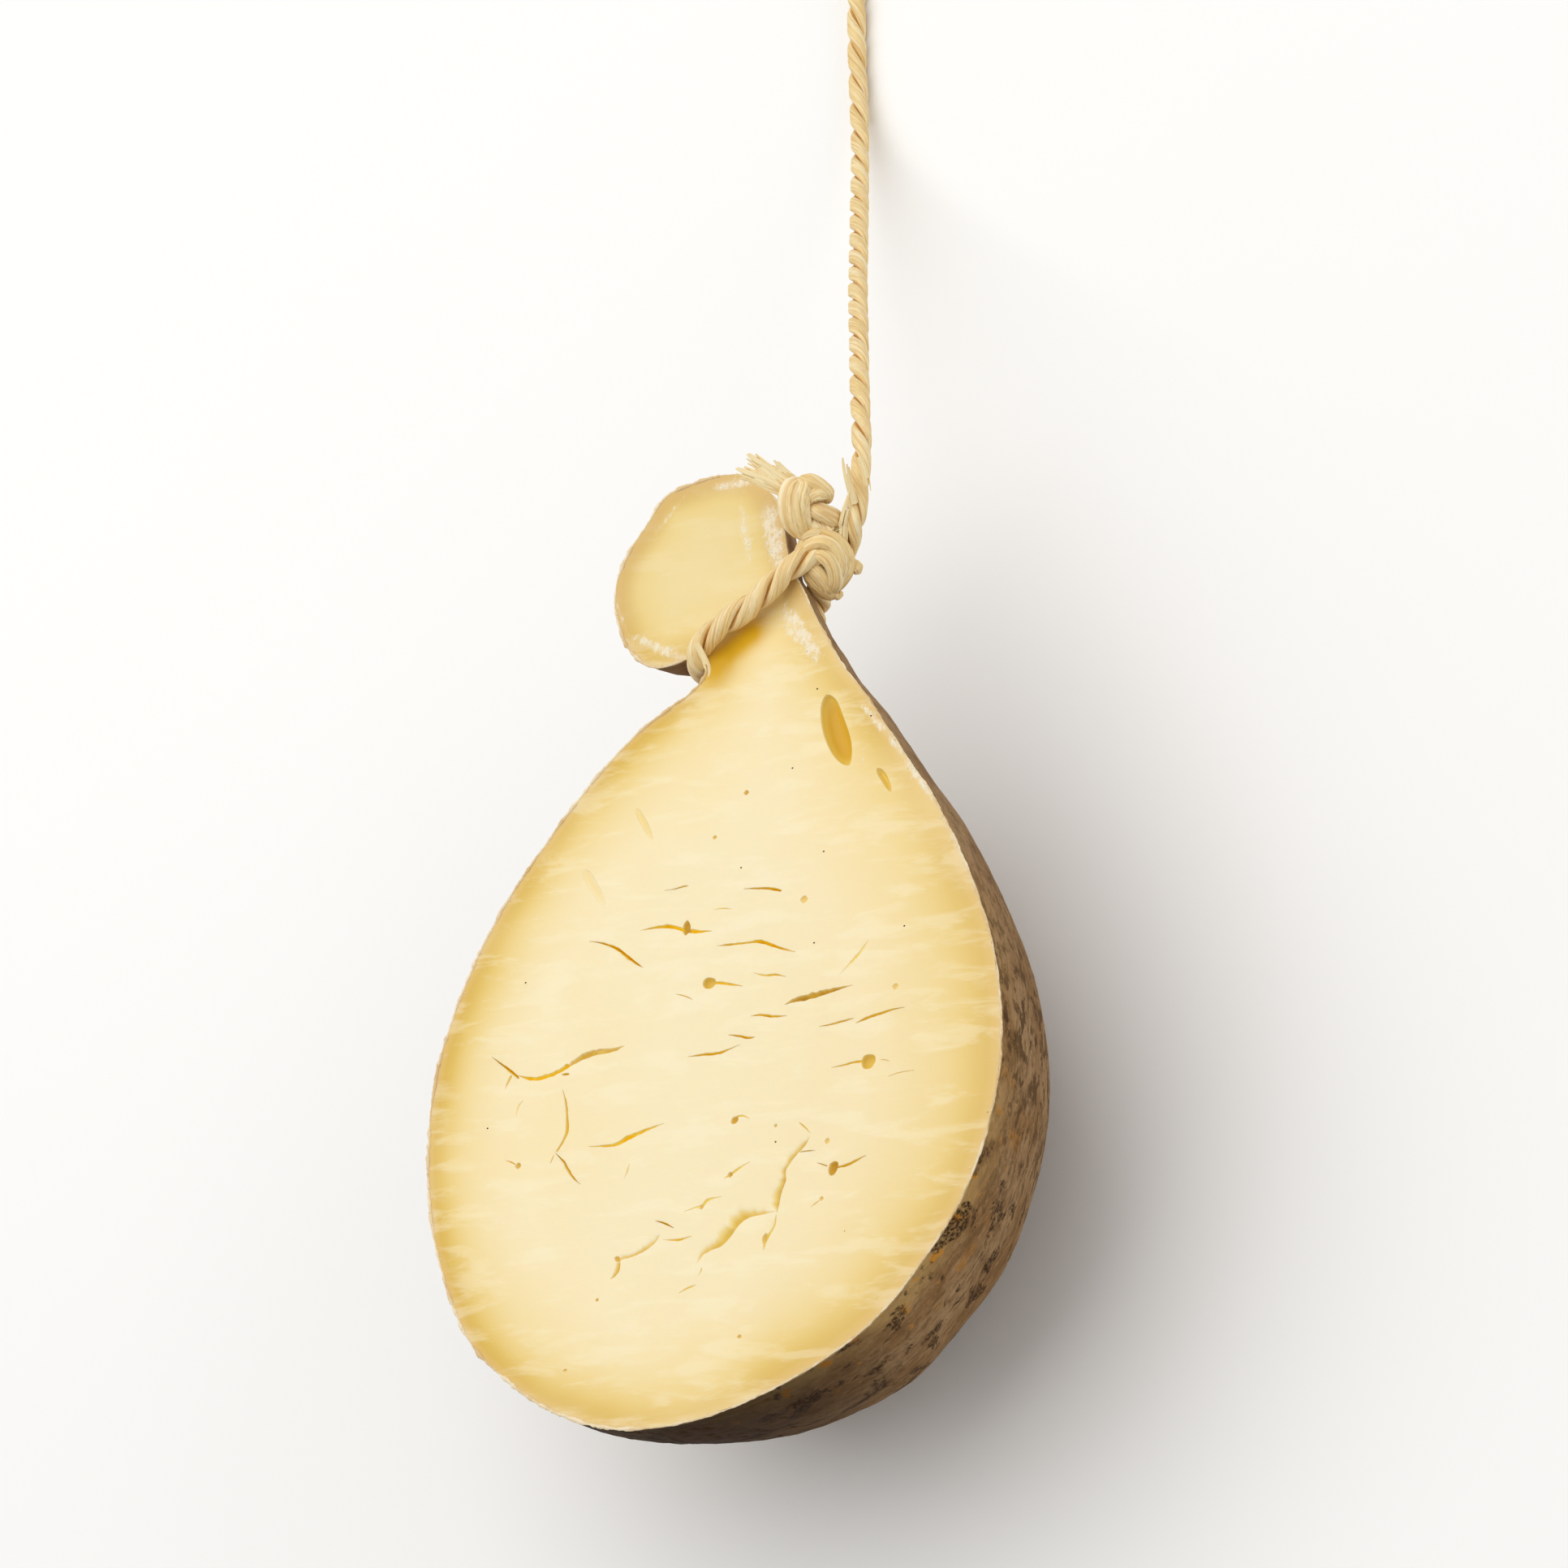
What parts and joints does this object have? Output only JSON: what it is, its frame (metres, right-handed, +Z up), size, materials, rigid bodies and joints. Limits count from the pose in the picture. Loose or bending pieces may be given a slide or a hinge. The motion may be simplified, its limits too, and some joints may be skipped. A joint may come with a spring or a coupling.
{
  "type": "half caciocavallo cheese",
  "caption": "Half of a pear-shaped caciocavallo cheese, cut lengthwise through its body and head, with straw twine knotted round the neck and a length of it to hang the cheese by.",
  "frame": {"origin": "on the small flat spot that the back of the rind rests on, at the height of the floor", "axes": "+X to the right across the cut face, +Y from the belly towards the head, +Z up, out of the cut face"},
  "size_m": [0.1417, 0.4236, 0.0851],
  "materials": {
    "cheese": "waxy cream paste on the cut face, dull grey-brown rind behind",
    "twine": "dry straw, satin along its fibres"
  },
  "bodies": {
    "root": {"cheese_half": "cheese", "neck_tie": "twine", "hanging_cord": "twine", "hanging_eye": "twine"}
  },
  "joints": []
}
